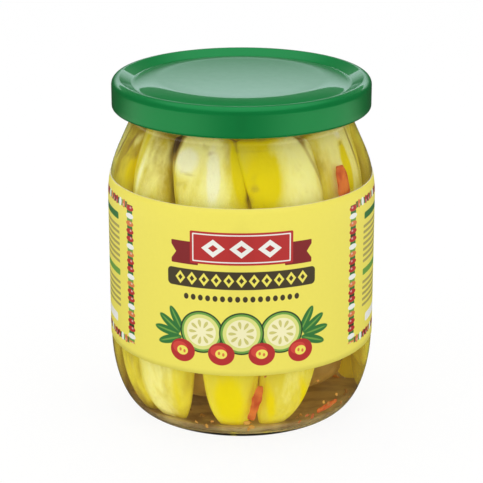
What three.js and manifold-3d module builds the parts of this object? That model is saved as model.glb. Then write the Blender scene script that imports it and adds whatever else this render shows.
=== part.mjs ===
// A shut twist-off glass jar of cucumber spears in brine with strips of chilli, as one scene graph.
// Millimetres, +Z up. The origin is the middle of the face that the jar stands on, and -Y is the front.
import * as THREE from "three";
import { mergeVertices } from "three/addons/utils/BufferGeometryUtils.js";
import Module from "manifold-3d";

// Jar glass
const bodyRadius = 44.4;
const wall = 2.3;
const ringInner = 29;
const ringOuter = 33.3;
const pushUp = 3.2;
const heelTop = 25.8;
const shoulderStart = 73.9;
const shoulderRadius = 40.1;
const shoulderAngle = THREE.MathUtils.degToRad(24);
const coneTop = 98.4;
const neckRadius = 36.8;
const beadRadius = 38.9;
const finishRadius = 39;
const finishBottom = 104.4;
const rimTop = 110.5;
const rimRound = 1.1;
const mouthRadius = 34.4;
const floorEdge = 30.8;
const floorEdgeHeight = 4.2;
const floorRise = 2.8;

// Thread on the glass and lugs in the lid, six of each
const threadCount = 6;
const threadSpan = THREE.MathUtils.degToRad(54);
const threadHeight = 1.3;
const threadTopHeight = 108.9;
const threadDrop = 3.2;
const threadHalfWidth = 1.1;
const lugDepth = 0.7;

// Lid
const lidRadius = 42.8;
const lidTop = 114;
const lidBottom = 104;
const lidWall = 0.8;
const curlRadius = 0.9;
const domeRadius = 447;
const domeEdge = 32;
const rollRadius = 12;
const rollAngle = THREE.MathUtils.degToRad(24);
const channelRound = 1.2;
const riseAngle = THREE.MathUtils.degToRad(38);
const crestRound = 1;

// Label
const labelBottom = 25.8;
const labelTop = 81.8;
const labelClearance = 0.1;
const labelThickness = 0.25;
const labelGap = 16;

// Contents
const coreRadius = 27;
const coreBottom = 8;
const coreTop = 90;
const spearClearance = 0.8;
const outerDepth = 6;
const innerDepth = 10;
const chilliClearance = 0.4;

// How round the faceted pieces are
const roundSegments = 40;
const spearSides = 10;
const spearRings = 8;
const chilliSides = 6;
const chilliRings = 6;
const lidTopSteps = 2;

// Spears that show at the front: azimuths in degrees from the front, positive to the right, at the top,
// at the point that the spear bows towards and at the foot, with the width at each end.
const shownSpears = [
  { azimuths: [-83, -62, -59], topWidth: 16, footWidth: 11, foot: 6, top: 103 },
  { azimuths: [-57, -34, -41.5], topWidth: 14.5, footWidth: 25, foot: 5, top: 104.5 },
  { azimuths: [-22, -5, -5], topWidth: 25, footWidth: 15.5, foot: 4.8, top: 104.5 },
  { azimuths: [15.5, 36, 19], topWidth: 26, footWidth: 16.5, foot: 4.6, top: 104.5 },
  { azimuths: [65, 53, 53], topWidth: 27, footWidth: 14, foot: 27, top: 104.5, clearance: 3.6 },
  { azimuths: [103, 78, 88], topWidth: 18, footWidth: 15, foot: 8, top: 103 },
];
const footPower = 3.4;
const topPower = 14;

// The rest of the ring stands evenly between the last spear shown and the first.
const hiddenSpears = 7;
const hiddenFrom = 103;
const hiddenTo = 268;
const hiddenWidth = 21;
const innerSpears = 5;
const innerRing = 12;

// Strips of chilli against the glass: from and to are [azimuth, height].
const chilliStrips = [
  { from: [50.5, 68], to: [53, 89.5], width: 5.2, thickness: 1.7 },
  { from: [4.6, 8.5], to: [8.4, 21], width: 2.8, thickness: 1.1 },
  { from: [40, 7.6], to: [53, 9.6], width: 2.6, thickness: 1.3 },
  { from: [168, 77], to: [174, 93], width: 4.6, thickness: 1.2, clearance: 0.5 },
];

const wasm = await Module();
wasm.setup();

const materials = {
  glass: new THREE.MeshStandardMaterial({ color: 0xe6efe4, roughness: 0.03, transparent: true, opacity: 0.35 }),
  lid: new THREE.MeshStandardMaterial({ color: 0x1e8c48, roughness: 0.25, metalness: 0 }),
  label: new THREE.MeshStandardMaterial({ color: 0xf1e462, roughness: 0.45 }),
  pickle: new THREE.MeshStandardMaterial({ color: 0xdccf55, roughness: 0.35 }),
  chilli: new THREE.MeshStandardMaterial({ color: 0xd7632d, roughness: 0.3 }),
};

// Points on part of an ellipse, from one angle to another in radians, without its first point
function arc(centreR, centreZ, radiusR, radiusZ, from, to, steps) {
  const points = [];
  for (let i = 1; i <= steps; i += 1) {
    const a = from + ((to - from) * i) / steps;
    points.push([centreR + radiusR * Math.cos(a), centreZ + radiusZ * Math.sin(a)]);
  }
  return points;
}

const quarter = Math.PI / 2;
const shoulderCentre = bodyRadius - shoulderRadius;

// Outside radius of the glass at a height between the base and the top of the shoulder's cone
function outsideRadius(z) {
  if (z < heelTop) {
    const drop = 1 - z / heelTop;
    return ringOuter + (bodyRadius - ringOuter) * Math.sqrt(1 - drop * drop);
  }
  const rise = z - shoulderStart;
  if (rise <= 0) {
    return bodyRadius;
  }
  const arcEnd = shoulderRadius * Math.sin(shoulderAngle);
  const onArc = Math.min(rise, arcEnd);
  const radius = shoulderCentre + Math.sqrt(shoulderRadius ** 2 - onArc ** 2);
  return radius - (rise - onArc) * Math.tan(shoulderAngle);
}

// Inside radius of the glass at a height above the floor's edge
function insideRadius(z) {
  if (z < heelTop) {
    const drop = 1 - (Math.max(z, floorEdgeHeight) - floorEdgeHeight) / (heelTop - floorEdgeHeight);
    return floorEdge + (bodyRadius - wall - floorEdge) * Math.sqrt(1 - drop * drop);
  }
  const inner = shoulderRadius - wall;
  const rise = Math.max(z - shoulderStart, 0);
  const onArc = Math.min(rise, inner * Math.sin(shoulderAngle));
  const radius = shoulderCentre + Math.sqrt(inner ** 2 - onArc ** 2);
  return Math.max(radius - (rise - onArc) * Math.tan(shoulderAngle), mouthRadius);
}

// Makes a closed surface face outwards.
function facingOut(geometry) {
  const place = geometry.attributes.position;
  const index = geometry.index;
  const corners = [new THREE.Vector3(), new THREE.Vector3(), new THREE.Vector3()];
  let volume = 0;
  for (let i = 0; i < index.count; i += 3) {
    corners.forEach((corner, k) => corner.fromBufferAttribute(place, index.getX(i + k)));
    volume += corners[0].dot(corners[1].clone().cross(corners[2]));
  }
  if (volume < 0) {
    for (let i = 0; i < index.count; i += 3) {
      const second = index.getX(i + 1);
      index.setX(i + 1, index.getX(i + 2));
      index.setX(i + 2, second);
    }
  }
  return geometry;
}

// Turns a profile of [radius, height] points about Z, with shape(radius, height, angle) to move a point out.
function turned(profile, shape) {
  const points = profile.map(([r, z]) => new THREE.Vector2(r, z));
  const geometry = new THREE.LatheGeometry(points, roundSegments);
  geometry.rotateX(quarter);
  geometry.deleteAttribute("normal");
  geometry.deleteAttribute("uv");
  if (shape) {
    const place = geometry.attributes.position;
    for (let i = 0; i < place.count; i += 1) {
      const r = Math.hypot(place.getX(i), place.getY(i));
      const angle = Math.atan2(place.getY(i), place.getX(i));
      const scale = r > 1 ? (r + shape(r, place.getZ(i), angle)) / r : 1;
      place.setXY(i, place.getX(i) * scale, place.getY(i) * scale);
    }
  }
  return facingOut(mergeVertices(geometry, 1e-4));
}

// Closes a row of rings of points, with a point at the middle of each end ring.
function loft(rings) {
  const sides = rings[0].length;
  const flat = rings.flat().flatMap((point) => point.toArray());
  const ends = [rings[0], rings[rings.length - 1]].map((ring) =>
    ring.reduce((sum, point) => sum.add(point), new THREE.Vector3()).divideScalar(sides));
  ends.forEach((point) => flat.push(...point.toArray()));
  const first = rings.length * sides;
  const triangles = [];
  for (let side = 0; side < sides; side += 1) {
    const next = (side + 1) % sides;
    const lastRing = (rings.length - 1) * sides;
    triangles.push(first, next, side);
    triangles.push(first + 1, lastRing + side, lastRing + next);
    for (let ring = 0; ring + 1 < rings.length; ring += 1) {
      const low = ring * sides;
      const high = low + sides;
      triangles.push(low + side, low + next, high + next);
      triangles.push(low + side, high + next, high + side);
    }
  }
  const geometry = new THREE.BufferGeometry();
  geometry.setAttribute("position", new THREE.Float32BufferAttribute(flat, 3));
  geometry.setIndex(triangles);
  return facingOut(geometry);
}

function toSolid(geometry) {
  const vertProperties = new Float32Array(geometry.attributes.position.array);
  const triVerts = new Uint32Array(geometry.index.array);
  return new wasm.Manifold(new wasm.Mesh({ numProp: 3, vertProperties, triVerts }));
}

function toGeometry(solid) {
  const mesh = solid.getMesh();
  const geometry = new THREE.BufferGeometry();
  geometry.setAttribute("position", new THREE.BufferAttribute(mesh.vertProperties, 3));
  geometry.setIndex(new THREE.BufferAttribute(mesh.triVerts, 1));
  return geometry;
}

// How far the thread stands out at a height and angle: six ridges that each run down to the right
function threadRise(z, angle) {
  const turn = (2 * Math.PI) / threadCount;
  const along = (((angle % turn) + turn) % turn) / threadSpan;
  if (along > 1) {
    return 0;
  }
  const middle = threadTopHeight - threadDrop * along;
  const across = Math.max(0, 1 - Math.abs(z - middle) / (2 * threadHalfWidth));
  return threadHeight * across * Math.sin(Math.PI * along) ** 0.5;
}

function jarGlass() {
  const base = [0, 0.36, 0.68, 0.9, 1].map((share) => [ringInner * share, pushUp * (1 - share * share)]);
  const heel = arc(ringOuter, heelTop, bodyRadius - ringOuter, heelTop, -quarter, 0, 8);
  const shoulder = arc(shoulderCentre, shoulderStart, shoulderRadius, shoulderRadius, 0, shoulderAngle, 4);
  const neck = [
    [outsideRadius(coneTop), coneTop],
    [neckRadius + 0.1, coneTop + 1.5],
    [neckRadius, coneTop + 3.2],
    [beadRadius, finishBottom - 0.9],
    [finishRadius, finishBottom],
  ];
  const finish = [];
  const finishSteps = 6;
  for (let i = 1; i <= finishSteps; i += 1) {
    finish.push([finishRadius, finishBottom + ((rimTop - rimRound - finishBottom) * i) / finishSteps]);
  }
  const rimOuter = arc(finishRadius - rimRound, rimTop - rimRound, rimRound, rimRound, 0, quarter, 2);
  const rimInner = arc(mouthRadius + rimRound, rimTop - rimRound, rimRound, rimRound, quarter, 2 * quarter, 2);
  const inner = shoulderRadius - wall;
  const innerConeTop = shoulderStart + inner * Math.sin(shoulderAngle)
    + (shoulderCentre + inner * Math.cos(shoulderAngle) - mouthRadius) / Math.tan(shoulderAngle);
  const bore = [
    [mouthRadius + rimRound, rimTop],
    ...rimInner,
    [mouthRadius, innerConeTop],
    [shoulderCentre + inner * Math.cos(shoulderAngle), shoulderStart + inner * Math.sin(shoulderAngle)],
  ];
  const innerShoulder = arc(shoulderCentre, shoulderStart, inner, inner, shoulderAngle, 0, 4);
  const innerHeel = [
    [bodyRadius - wall, heelTop],
    ...arc(floorEdge, heelTop, bodyRadius - wall - floorEdge, heelTop - floorEdgeHeight, 0, -quarter, 6),
  ];
  const floor = [0.8, 0.5, 0].map((share) => [floorEdge * share, floorEdgeHeight + floorRise * (1 - share * share)]);
  const profile = [
    ...base,
    [ringOuter, 0],
    ...heel,
    [bodyRadius, shoulderStart],
    ...shoulder,
    ...neck,
    ...finish,
    ...rimOuter,
    ...bore,
    ...innerShoulder,
    ...innerHeel,
    ...floor,
  ];
  const onFinish = (r, z) => Math.abs(r - finishRadius) < 0.01 && z > finishBottom + 0.1;
  return turned(profile, (r, z, angle) => (onFinish(r, z) ? threadRise(z, angle) : 0));
}

// How far a lug stands in at an angle: six short stretches of the curled edge
function lugShare(angle) {
  const wave = Math.cos(threadCount * angle);
  return Math.max(0, (wave - 0.5) / 0.5);
}

// The top of the lid from the axis to the crest, as arcs of [centre radius, centre height, radius, from, to]:
// a slightly domed panel, the roll down to the channel, the channel and the crest. inset is inwards.
function lidTopArcs(inset) {
  const domeAngle = Math.asin(domeEdge / domeRadius);
  const dome = [0, lidTop - domeRadius];
  const roll = [
    dome[0] + (domeRadius - rollRadius) * Math.sin(domeAngle),
    dome[1] + (domeRadius - rollRadius) * Math.cos(domeAngle),
  ];
  const channel = [
    roll[0] + (rollRadius + channelRound) * Math.sin(rollAngle),
    roll[1] + (rollRadius + channelRound) * Math.cos(rollAngle),
  ];
  const riseHeight = lidTop - crestRound - channel[1] + (channelRound + crestRound) * Math.cos(riseAngle);
  const riseWidth = riseHeight / Math.tan(riseAngle);
  const crest = [
    channel[0] + (channelRound + crestRound) * Math.sin(riseAngle) + riseWidth,
    lidTop - crestRound,
  ];
  return [
    [...dome, domeRadius - inset, quarter, quarter - domeAngle],
    [...roll, rollRadius - inset, quarter - domeAngle, quarter - rollAngle],
    [...channel, channelRound + inset, -quarter - rollAngle, -quarter + riseAngle],
    [...crest, crestRound - inset, quarter + riseAngle, quarter],
  ];
}

function lidTopProfile(inset) {
  return lidTopArcs(inset).flatMap(([r, z, radius, from, to]) => [
    [r + radius * Math.cos(from), z + radius * Math.sin(from)],
    ...arc(r, z, radius, radius, from, to, lidTopSteps),
  ]);
}

function lid() {
  const crestRadius = lidTopArcs(0)[3][0];
  const corner = lidRadius - crestRadius;
  const outside = [
    ...lidTopProfile(0).slice(0, -1),
    [crestRadius, lidTop],
    ...arc(crestRadius, lidTop - corner, corner, corner, quarter, 0, 4),
    [lidRadius, lidBottom + curlRadius],
  ];
  const curlMiddle = lidRadius - curlRadius;
  const curl = arc(curlMiddle, lidBottom + curlRadius, curlRadius, curlRadius, 0, -3 * quarter, 6);
  const innerCorner = corner - lidWall;
  const inside = [
    [lidRadius - lidWall, lidBottom + 2 * curlRadius + 0.3],
    [lidRadius - lidWall, lidTop - corner],
    ...arc(crestRadius, lidTop - corner, innerCorner, innerCorner, 0, quarter, 3),
    ...lidTopProfile(lidWall).slice(0, -1).reverse(),
  ];
  const onCurl = (r, z) => r < curlMiddle - 0.3 && r > crestRadius && z < lidBottom + 2 * curlRadius + 0.2;
  return turned([...outside, ...curl, ...inside], (r, z, angle) =>
    (onCurl(r, z) ? -lugDepth * lugShare(angle) : 0));
}

// A thin sleeve that follows the glass, open at the back where its two ends stop short of each other
function label() {
  const heights = [labelBottom, shoulderStart, shoulderStart + 3, shoulderStart + 5.5, labelTop];
  const inside = heights.map((z) => [outsideRadius(z) + labelClearance, z]);
  const outside = heights.map((z) => [outsideRadius(z) + labelClearance + labelThickness, z]).reverse();
  const sleeve = turned([...inside, ...outside, inside[0]]);
  const cutter = new THREE.BoxGeometry(labelGap, bodyRadius, lidTop);
  cutter.deleteAttribute("normal");
  cutter.deleteAttribute("uv");
  cutter.translate(0, bodyRadius, lidTop / 2);
  return toGeometry(toSolid(sleeve).subtract(toSolid(mergeVertices(cutter))));
}

// Width share along a length: full in the middle, and rounder at an end the lower its power
function taper(share, lowPower, highPower) {
  const along = 2 * share - 1;
  return Math.sqrt(Math.max(0, 1 - Math.abs(along) ** (along < 0 ? lowPower : highPower)));
}

function signedPower(value, power) {
  return Math.sign(value) * Math.abs(value) ** power;
}

// Azimuth in radians along a spear that bows: a quadratic curve from the foot to the top
function bowed([top, bow, foot], share) {
  const rest = 1 - share;
  return THREE.MathUtils.degToRad(foot * rest * rest + 2 * bow * share * rest + top * share * share);
}

// A cut cucumber spear that stands against the glass: a loaf-shaped section, narrower on the inside,
// that follows the wall up the jar.
function spear({ azimuths, topWidth, footWidth, foot, top, clearance = spearClearance }) {
  const rings = [];
  for (let ring = 0; ring < spearRings; ring += 1) {
    const share = 0.5 - 0.5 * Math.cos((Math.PI * (ring + 0.35)) / (spearRings - 0.3));
    const z = foot + (top - foot) * share;
    const size = taper(share, footPower, topPower);
    const azimuth = bowed(azimuths, share);
    const width = footWidth + (topWidth - footWidth) * share;
    const middle = insideRadius(z) - clearance - outerDepth;
    const points = [];
    for (let side = 0; side < spearSides; side += 1) {
      const turn = (2 * Math.PI * side) / spearSides;
      const outward = Math.cos(turn);
      const depth = outward > 0 ? outerDepth : innerDepth;
      const narrow = 1 - 0.45 * Math.max(0, -outward);
      const r = middle + size * depth * signedPower(outward, 0.8);
      const across = size * (width / 2) * narrow * signedPower(Math.sin(turn), 0.85);
      points.push(new THREE.Vector3(
        r * Math.sin(azimuth) + across * Math.cos(azimuth),
        -r * Math.cos(azimuth) + across * Math.sin(azimuth),
        z,
      ));
    }
    rings.push(points);
  }
  return loft(rings);
}

// Spears of the ring that don't show at the front, uneven by a fixed wave
function hiddenSpear(number) {
  const azimuth = hiddenFrom + ((hiddenTo - hiddenFrom) * number) / (hiddenSpears - 1);
  const wave = Math.sin(2.4 * number + 1);
  return {
    azimuths: [azimuth + 3 * wave, azimuth, azimuth - 3 * wave],
    topWidth: hiddenWidth - 2 * wave,
    footWidth: hiddenWidth + 2 * wave,
    foot: 6 + wave,
    top: 102 + wave,
  };
}

// Spears in the middle of the jar, whose tips stand above the core
function innerSpear(number) {
  const azimuth = (360 * number) / innerSpears + 10;
  const wave = Math.sin(1.7 * number);
  const standing = { azimuths: [azimuth, azimuth, azimuth], topWidth: 17, footWidth: 17, foot: 12 };
  return { ...standing, top: 99 + 1.5 * wave, clearance: mouthRadius - innerRing - outerDepth };
}

// The heap: a plain core with every spear fused on
function pickleHeap() {
  const core = toSolid(turned([
    [0, coreBottom],
    [coreRadius * 0.7, coreBottom + 1],
    [coreRadius, coreBottom + 8],
    [coreRadius, coreTop - 8],
    [coreRadius * 0.7, coreTop - 1],
    [0, coreTop],
  ]));
  const spears = [
    ...shownSpears,
    ...Array.from({ length: hiddenSpears }, (_, number) => hiddenSpear(number)),
    ...Array.from({ length: innerSpears }, (_, number) => innerSpear(number)),
  ];
  return toGeometry(spears.reduce((heap, sizes) => heap.add(toSolid(spear(sizes))), core));
}

// A cut strip of chilli that lies along the inside of the glass
function chilliStrip({ from, to, width, thickness, clearance = chilliClearance }) {
  const centreAt = (share) => {
    const azimuth = THREE.MathUtils.degToRad(from[0] + (to[0] - from[0]) * share);
    const z = from[1] + (to[1] - from[1]) * share;
    const r = insideRadius(z - 1) - clearance - thickness / 2;
    return new THREE.Vector3(r * Math.sin(azimuth), -r * Math.cos(azimuth), z);
  };
  const rings = [];
  for (let ring = 0; ring < chilliRings; ring += 1) {
    const share = ring / (chilliRings - 1);
    const centre = centreAt(share);
    const along = centreAt(share + 0.01).sub(centreAt(share - 0.01)).normalize();
    const outward = new THREE.Vector3(centre.x, centre.y, 0).normalize();
    const across = along.clone().cross(outward).normalize();
    const proud = across.clone().cross(along).normalize();
    const size = 0.35 + 0.65 * taper(0.04 + 0.92 * share, footPower, footPower);
    const points = [];
    for (let side = 0; side < chilliSides; side += 1) {
      const turn = (2 * Math.PI * side) / chilliSides;
      const point = centre.clone();
      point.addScaledVector(across, (size * width * Math.cos(turn)) / 2);
      point.addScaledVector(proud, (size * thickness * Math.sin(turn)) / 2);
      points.push(point);
    }
    rings.push(points);
  }
  return loft(rings);
}

function named(name, geometry, material) {
  const mesh = new THREE.Mesh(geometry, material);
  mesh.name = name;
  return mesh;
}

const jar = new THREE.Group();
jar.add(named("glass_jar", jarGlass(), materials.glass));
jar.add(named("lid", lid(), materials.lid));
jar.add(named("label", label(), materials.label));
jar.add(named("pickle_heap", pickleHeap(), materials.pickle));
chilliStrips.forEach((sizes, number) => {
  jar.add(named(`chilli_strip_${number + 1}`, chilliStrip(sizes), materials.chilli));
});

export default jar;
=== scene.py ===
"""Looks of a shut glass jar of cucumber spears in brine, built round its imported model.

Sizes are in millimetres until a mesh is made. -Y is the front, and azimuths are measured from there,
positive to the right.
"""

import math
from typing import NamedTuple

import bmesh
import bpy
import numpy as np
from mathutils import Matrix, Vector, noise


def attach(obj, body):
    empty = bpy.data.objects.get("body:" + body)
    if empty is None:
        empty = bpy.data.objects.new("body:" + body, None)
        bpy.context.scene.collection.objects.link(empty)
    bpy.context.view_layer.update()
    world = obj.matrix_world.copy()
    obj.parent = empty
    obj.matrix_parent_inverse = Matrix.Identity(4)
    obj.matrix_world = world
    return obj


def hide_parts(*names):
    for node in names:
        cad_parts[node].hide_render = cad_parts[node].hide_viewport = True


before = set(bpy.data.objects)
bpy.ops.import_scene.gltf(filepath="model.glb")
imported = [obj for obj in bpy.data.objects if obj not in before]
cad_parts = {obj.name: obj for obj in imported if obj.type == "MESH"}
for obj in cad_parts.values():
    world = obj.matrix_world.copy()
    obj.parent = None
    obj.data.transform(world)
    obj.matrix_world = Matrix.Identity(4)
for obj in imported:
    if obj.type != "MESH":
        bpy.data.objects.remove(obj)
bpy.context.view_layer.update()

MM = 0.001
QUARTER = math.pi / 2

# Jar glass
BODY_RADIUS = 44.4
WALL = 2.3
RING_INNER = 29.0
RING_OUTER = 33.3
PUSH_UP = 3.2
HEEL_TOP = 25.8
SHOULDER_START = 73.9
SHOULDER_RADIUS = 40.1
SHOULDER_ANGLE = math.radians(24)
CONE_TOP = 98.4
NECK_RADIUS = 36.8
BEAD_RADIUS = 38.9
FINISH_RADIUS = 39.0
FINISH_BOTTOM = 104.4
RIM_TOP = 110.5
RIM_ROUND = 1.1
MOUTH_RADIUS = 34.4
FLOOR_EDGE = 30.8
FLOOR_EDGE_HEIGHT = 3.0
FLOOR_RISE = 2.2
SHOULDER_CENTRE = BODY_RADIUS - SHOULDER_RADIUS

# Thread and lugs
THREADS = 6
THREAD_SPAN = math.radians(54)
THREAD_HEIGHT = 1.3
THREAD_TOP = 108.9
THREAD_DROP = 3.2
THREAD_HALF_WIDTH = 1.1
LUG_DEPTH = 0.7

# Lid
LID_RADIUS = 42.8
LID_TOP = 114.0
LID_BOTTOM = 104.0
LID_WALL = 0.6
CURL_RADIUS = 0.9
DOME_RADIUS = 700.0
DOME_EDGE = 27.5
ROLL_RADIUS = 30.0
ROLL_ANGLE = math.radians(18)
CHANNEL_ROUND = 1.2
RISE_ANGLE = math.radians(28)
CREST_ROUND = 1.0

# Label
LABEL_BOTTOM = 25.8
LABEL_TOP = 81.8
LABEL_INNER_GAP = 0.03
LABEL_THICKNESS = 0.2
LABEL_GAP = 16.0

# Contents
BRINE_LEVEL = 105.6
BRINE_INTO_WALL = 0.3
SEDIMENT_TOP = 5.4
BRINE_INDEX = 1.34
SPEAR_CLEARANCE = 0.8
OUTER_DEPTH = 6.0
INNER_DEPTH = 10.0
FOOT_POWER = 3.4
TOP_POWER = 14.0
FINE_SPEARS = (1, 2, 3, 4)
FINE_MESH = (150, 80)
COARSE_MESH = (60, 40)
HIDDEN_SPEARS = 7
HIDDEN_AZIMUTHS = (103, 268)
HIDDEN_WIDTH = 21
INNER_SPEARS = 5
INNER_RING = 12
CORE_RADIUS = 25.5
CORE_BOTTOM = 8
CORE_TOP = 90
CORE_END = 8
SCATTERED_BITS = 60
CHILLI_CLEARANCE = 0.4

# Camera, from the outline of lid, body and label in the photograph
CAMERA_DISTANCE = 630.3
CAMERA_PITCH = 0.329
CAMERA_TARGET = 56.25
FOCAL_PIXELS = 1862.5
PICTURE_SIDE = 483
SENSOR = 36.0

ROUND_SEGMENTS = 192


def cos_sin(degrees):
    return math.cos(math.radians(degrees)), math.sin(math.radians(degrees))


def arc(centre_r, centre_z, radius_r, radius_z, start, end, steps):
    """Points on part of an ellipse, from one angle to another, without its first point."""
    turn = np.linspace(start, end, steps + 1)[1:]
    return list(zip(centre_r + radius_r * np.cos(turn), centre_z + radius_z * np.sin(turn)))


def outside_radius(z):
    """Outside radius of the glass between the base and the top of the shoulder's cone."""
    if z < HEEL_TOP:
        drop = 1 - z / HEEL_TOP
        return RING_OUTER + (BODY_RADIUS - RING_OUTER) * math.sqrt(1 - drop * drop)
    rise = max(z - SHOULDER_START, 0)
    on_arc = min(rise, SHOULDER_RADIUS * math.sin(SHOULDER_ANGLE))
    radius = SHOULDER_CENTRE + math.sqrt(SHOULDER_RADIUS**2 - on_arc**2)
    return radius - (rise - on_arc) * math.tan(SHOULDER_ANGLE)


def inside_radius(z):
    """Inside radius of the glass above the floor's edge."""
    if z < HEEL_TOP:
        drop = 1 - (max(z, FLOOR_EDGE_HEIGHT) - FLOOR_EDGE_HEIGHT) / (HEEL_TOP - FLOOR_EDGE_HEIGHT)
        return FLOOR_EDGE + (BODY_RADIUS - WALL - FLOOR_EDGE) * math.sqrt(1 - drop * drop)
    inner = SHOULDER_RADIUS - WALL
    rise = max(z - SHOULDER_START, 0)
    on_arc = min(rise, inner * math.sin(SHOULDER_ANGLE))
    radius = SHOULDER_CENTRE + math.sqrt(inner**2 - on_arc**2)
    return max(radius - (rise - on_arc) * math.tan(SHOULDER_ANGLE), MOUTH_RADIUS)


def new_object(name, data):
    thing = bpy.data.objects.new(name, data)
    bpy.context.scene.collection.objects.link(thing)
    return thing


def around(r, turn, z):
    """Points at a radius, an azimuth in radians and a height."""
    return np.stack(np.broadcast_arrays(r * np.sin(turn), -r * np.cos(turn), z), axis=-1)


def make_piece(name, points, faces):
    """A mesh object from points in millimetres, with its faces turned outwards."""
    mesh = bpy.data.meshes.new(name)
    mesh.from_pydata((np.asarray(points, float) * MM).tolist(), [], faces)
    work = bmesh.new()
    work.from_mesh(mesh)
    bmesh.ops.recalc_face_normals(work, faces=work.faces)
    work.to_mesh(mesh)
    work.free()
    mesh.polygons.foreach_set("use_smooth", [True] * len(mesh.polygons))
    return new_object(name, mesh)


def add_values(piece, name, values):
    """A number for each point, which a material can read."""
    layer = piece.data.attributes.new(name, "FLOAT", "POINT")
    layer.data.foreach_set("value", np.asarray(values, np.float32))


def dress(piece, materials, slot, *nodes):
    """The piece gets its materials, rides on the jar, and stands in for these CAD nodes. The slot is not
    used.
    """
    for material in materials:
        piece.data.materials.append(material)
    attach(piece, "root")
    if nodes:
        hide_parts(*nodes)


def grid_faces(rows, columns, first=0, wrap_rows=False):
    """Quads over rows of points that each close on themselves."""
    faces = []
    for row in range(rows if wrap_rows else rows - 1):
        low = first + row * columns
        high = first + ((row + 1) % rows) * columns
        for column in range(columns):
            beside = (column + 1) % columns
            faces.append((low + column, low + beside, high + beside, high + column))
    return faces


def fan(tip, row, columns):
    return [(tip, row + column, row + (column + 1) % columns) for column in range(columns)]


def turned(name, profile, move=None):
    """A closed surface of revolution. The profile starts and ends on the axis, or closes on itself."""
    radius, height = np.array(profile, float).T
    on_axis = radius[0] < 1e-6
    middle = slice(1, -1) if on_axis else slice(None)
    turn = np.arange(ROUND_SEGMENTS) * (2 * math.pi / ROUND_SEGMENTS)
    r = np.repeat(radius[middle, None], ROUND_SEGMENTS, axis=1)
    z = np.repeat(height[middle, None], ROUND_SEGMENTS, axis=1)
    if move is not None:
        r = r + move(r, z, np.broadcast_to(turn, r.shape))
    points = around(r, turn, z).reshape(-1, 3)
    rows = len(r)
    faces = grid_faces(rows, ROUND_SEGMENTS, wrap_rows=not on_axis)
    if on_axis:
        tips = [(0, 0, height[0]), (0, 0, height[-1])]
        faces += fan(len(points), 0, ROUND_SEGMENTS)
        faces += fan(len(points) + 1, (rows - 1) * ROUND_SEGMENTS, ROUND_SEGMENTS)
        points = np.concatenate([points, tips])
    return make_piece(name, points, faces)


def loft(rings):
    """(points, faces) of a closed skin over rings of points, each end closed by a fan."""
    rings = np.asarray(rings)
    rows, columns = rings.shape[:2]
    points = np.concatenate([rings.reshape(-1, 3), [rings[0].mean(0), rings[-1].mean(0)]])
    faces = grid_faces(rows, columns)
    faces += fan(rows * columns, 0, columns)
    faces += fan(rows * columns + 1, (rows - 1) * columns, columns)
    return points, faces


# Material nodes


class Output:
    """An output of a shader node. Those that are numbers take part in plain arithmetic."""

    def __init__(self, socket):
        self.socket = socket

    def calc(self, operation, other=0.0, clamp=False):
        inputs = {0: self, 1: other}
        return add(self.socket.id_data, "Math", inputs, operation=operation, use_clamp=clamp)

    def __add__(self, other):
        return self.calc("ADD", other)

    def __sub__(self, other):
        return self.calc("SUBTRACT", other)

    def __rsub__(self, other):
        return add(self.socket.id_data, "Math", {0: other, 1: self}, operation="SUBTRACT")

    def __mul__(self, other):
        return self.calc("MULTIPLY", other)

    def __truediv__(self, other):
        return self.calc("DIVIDE", other)

    def __abs__(self):
        return self.calc("ABSOLUTE")


def new_material(name):
    material = bpy.data.materials.new(name)
    material.use_nodes = True
    tree = material.node_tree
    tree.nodes.clear()
    return material, tree


def add_node(tree, kind, inputs=None, **settings):
    """A node with its settings, and its inputs linked to outputs or set to values."""
    node = tree.nodes.new("ShaderNode" + kind)
    for name, value in settings.items():
        setattr(node, name, value)
    for key, value in (inputs or {}).items():
        if isinstance(value, Output):
            tree.links.new(value.socket, node.inputs[key])
        else:
            node.inputs[key].default_value = value
    return node


def add(tree, kind, inputs=None, output=0, **settings):
    """One output of a new node."""
    return Output(add_node(tree, kind, inputs, **settings).outputs[output])


def add_several(tree, kind, outputs, inputs=None):
    """Some outputs of a new node."""
    node = add_node(tree, kind, inputs)
    return [Output(node.outputs[name]) for name in outputs]


def blend(tree, share, low, high):
    """A colour between two, each an output or (red, green, blue)."""
    low, high = (colour if isinstance(colour, Output) else (*colour, 1) for colour in (low, high))
    return add(tree, "Mix", {0: share, 6: low, 7: high}, output=2, data_type="RGBA")


def place(tree, stretch=(1, 1, 1)):
    """The point in metres in the jar's frame, stretched."""
    here = add(tree, "TexCoord", output="Object")
    return add(tree, "Mapping", {"Vector": here, "Scale": stretch})


def speckle(tree, where, scale, detail=3.0, roughness=0.55):
    inputs = {"Vector": where, "Scale": scale, "Detail": detail, "Roughness": roughness}
    return add(tree, "TexNoise", inputs)


def ramp(tree, value, low, high):
    """0 below low and 1 above high, smoothly."""
    return add(tree, "MapRange", {0: value, 1: low, 2: high}, interpolation_type="SMOOTHSTEP")


def bump(tree, height, strength, distance):
    return add(tree, "Bump", {"Height": height, "Strength": strength, "Distance": distance})


def reading(tree, name):
    """A number that the mesh holds for each point."""
    return add(tree, "Attribute", output="Fac", attribute_name=name)


def finished(material, inputs):
    """The material, with one shader that has these inputs."""
    tree = material.node_tree
    add_node(tree, "OutputMaterial", {"Surface": add(tree, "BsdfPrincipled", inputs)})
    return material


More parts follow.
